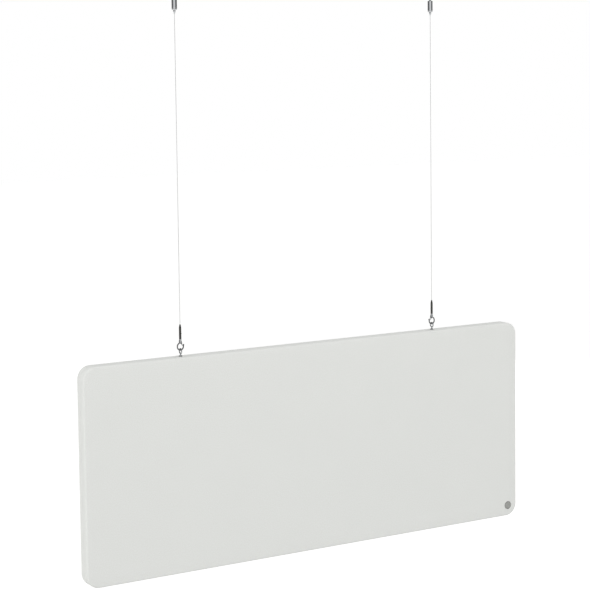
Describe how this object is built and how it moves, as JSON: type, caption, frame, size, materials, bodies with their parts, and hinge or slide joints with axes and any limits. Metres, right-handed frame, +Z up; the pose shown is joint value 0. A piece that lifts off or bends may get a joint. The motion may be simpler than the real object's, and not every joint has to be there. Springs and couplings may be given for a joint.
{
  "type": "hanging acoustic panel",
  "caption": "Rectangular fabric covered acoustic screen with round corners, hung from the ceiling by two steel wires with wire grippers and snap hooks in screw eyes.",
  "frame": {"origin": "ceiling plane, midway between the two hanging points, on the middle plane of the panel", "axes": "+Z up out of the ceiling fixings' seats, +X along the panel to the right of someone who faces its front, front facing -Y"},
  "size_m": [1.2, 0.042, 1.332],
  "materials": {
    "chromed_steel": "polished chrome plating on turned steel",
    "chromed_brass": "polished nickel and chrome plating on turned brass",
    "zinc_plated_steel": "bright zinc plating",
    "spring_steel": "drawn bright steel",
    "steel_wire": "stranded galvanised wire, fine lay",
    "dark_steel": "black nickel plating",
    "dark_sleeve": "black anodised, satin",
    "insert_brass": "plain turned brass",
    "frame_wood": "planed pine",
    "core_wool": "resin bonded wood fibre wool board",
    "cover_fabric": "light warm grey woven wool fabric on a thin fleece"
  },
  "bodies": {
    "ceiling": {"ceiling_plate_left": "chromed_steel", "ceiling_plate_right": "chromed_steel", "socket_cap_left": "chromed_steel", "socket_cap_right": "chromed_steel"},
    "gripper_left": {"ball_stud_left": "zinc_plated_steel", "gripper_body_left": "chromed_brass", "release_spring_left": "spring_steel", "wire_tail_left": "steel_wire"},
    "release_left": {"release_plunger_left": "chromed_brass", "clamp_balls_left": "spring_steel"},
    "suspension_left": {"wire_left": "steel_wire", "wire_ferrule_left": "spring_steel", "hook_sleeve_left": "dark_sleeve", "sleeve_screw_left": "zinc_plated_steel", "hook_clevis_left": "zinc_plated_steel", "hook_pin_left": "zinc_plated_steel"},
    "hook_left": {"snap_hook_left": "dark_steel"},
    "gate_left": {"hook_gate_left": "spring_steel"},
    "gripper_right": {"ball_stud_right": "zinc_plated_steel", "gripper_body_right": "chromed_brass", "release_spring_right": "spring_steel", "wire_tail_right": "steel_wire"},
    "release_right": {"release_plunger_right": "chromed_brass", "clamp_balls_right": "spring_steel"},
    "suspension_right": {"wire_right": "steel_wire", "wire_ferrule_right": "spring_steel", "hook_sleeve_right": "dark_sleeve", "sleeve_screw_right": "zinc_plated_steel", "hook_clevis_right": "zinc_plated_steel", "hook_pin_right": "zinc_plated_steel"},
    "hook_right": {"snap_hook_right": "dark_steel"},
    "gate_right": {"hook_gate_right": "spring_steel"},
    "panel": {"screw_eye_left": "zinc_plated_steel", "screw_eye_right": "zinc_plated_steel", "eye_washer_left": "zinc_plated_steel", "eye_washer_right": "zinc_plated_steel", "threaded_insert_left": "insert_brass", "threaded_insert_right": "insert_brass", "top_rail": "frame_wood", "bottom_rail": "frame_wood", "stile_left": "frame_wood", "stile_right": "frame_wood", "corner_dowels": "frame_wood", "acoustic_core": "core_wool", "front_cover": "cover_fabric", "back_cover": "cover_fabric", "badge_disc": "chromed_steel"}
  },
  "joints": [
    {"name": "swing_left", "type": "hinge", "parent": "ceiling", "child": "gripper_left", "pos_m": [-0.35, 0, -0.0095], "axis": [1, 0, 0], "range_deg": [-20, 20]},
    {"name": "press_left", "type": "slide", "parent": "gripper_left", "child": "release_left", "axis": [0, 0, 1], "range_m": [0, 0.002], "stiffness_N_per_m": 900, "springref_m": -0.003, "deforming": ["release_spring_left"]},
    {"name": "sway_left", "type": "hinge", "parent": "gripper_left", "child": "suspension_left", "pos_m": [-0.35, 0, -0.0538], "axis": [0, 1, 0], "range_deg": [-12, 12]},
    {"name": "hook_turn_left", "type": "hinge", "parent": "suspension_left", "child": "hook_left", "pos_m": [-0.35, 0, -0.7975], "axis": [0, 1, 0], "range_deg": [-12, 12]},
    {"name": "gate_open_left", "type": "hinge", "parent": "hook_left", "child": "gate_left", "pos_m": [-0.3482, 0, -0.8018], "axis": [0, 1, 0], "range_deg": [0, 35], "stiffness_Nm_per_rad": 0.00002, "springref_deg": -28.65},
    {"name": "swing_right", "type": "hinge", "parent": "ceiling", "child": "gripper_right", "pos_m": [0.35, 0, -0.0095], "axis": [1, 0, 0], "range_deg": [-20, 20]},
    {"name": "press_right", "type": "slide", "parent": "gripper_right", "child": "release_right", "axis": [0, 0, 1], "range_m": [0, 0.002], "stiffness_N_per_m": 900, "springref_m": -0.003, "deforming": ["release_spring_right"]},
    {"name": "sway_right", "type": "hinge", "parent": "gripper_right", "child": "suspension_right", "pos_m": [0.35, 0, -0.0538], "axis": [0, 1, 0], "range_deg": [-12, 12]},
    {"name": "hook_turn_right", "type": "hinge", "parent": "suspension_right", "child": "hook_right", "pos_m": [0.35, 0, -0.7975], "axis": [0, 1, 0], "range_deg": [-12, 12]},
    {"name": "gate_open_right", "type": "hinge", "parent": "hook_right", "child": "gate_right", "pos_m": [0.3482, 0, -0.8018], "axis": [0, -1, 0], "range_deg": [0, 35], "stiffness_Nm_per_rad": 0.00002, "springref_deg": -28.65},
    {"name": "panel_tilt", "type": "hinge", "parent": "hook_left", "child": "panel", "pos_m": [-0.35, 0, -0.8175], "axis": [1, 0, 0], "range_deg": [-25, 25]}
  ],
  "couplings": [
    {"joint": "swing_right", "follows": "swing_left", "ratio": 1},
    {"joint": "sway_right", "follows": "sway_left", "ratio": 1},
    {"joint": "hook_turn_left", "follows": "sway_left", "ratio": -1},
    {"joint": "hook_turn_right", "follows": "sway_left", "ratio": -1}
  ]
}
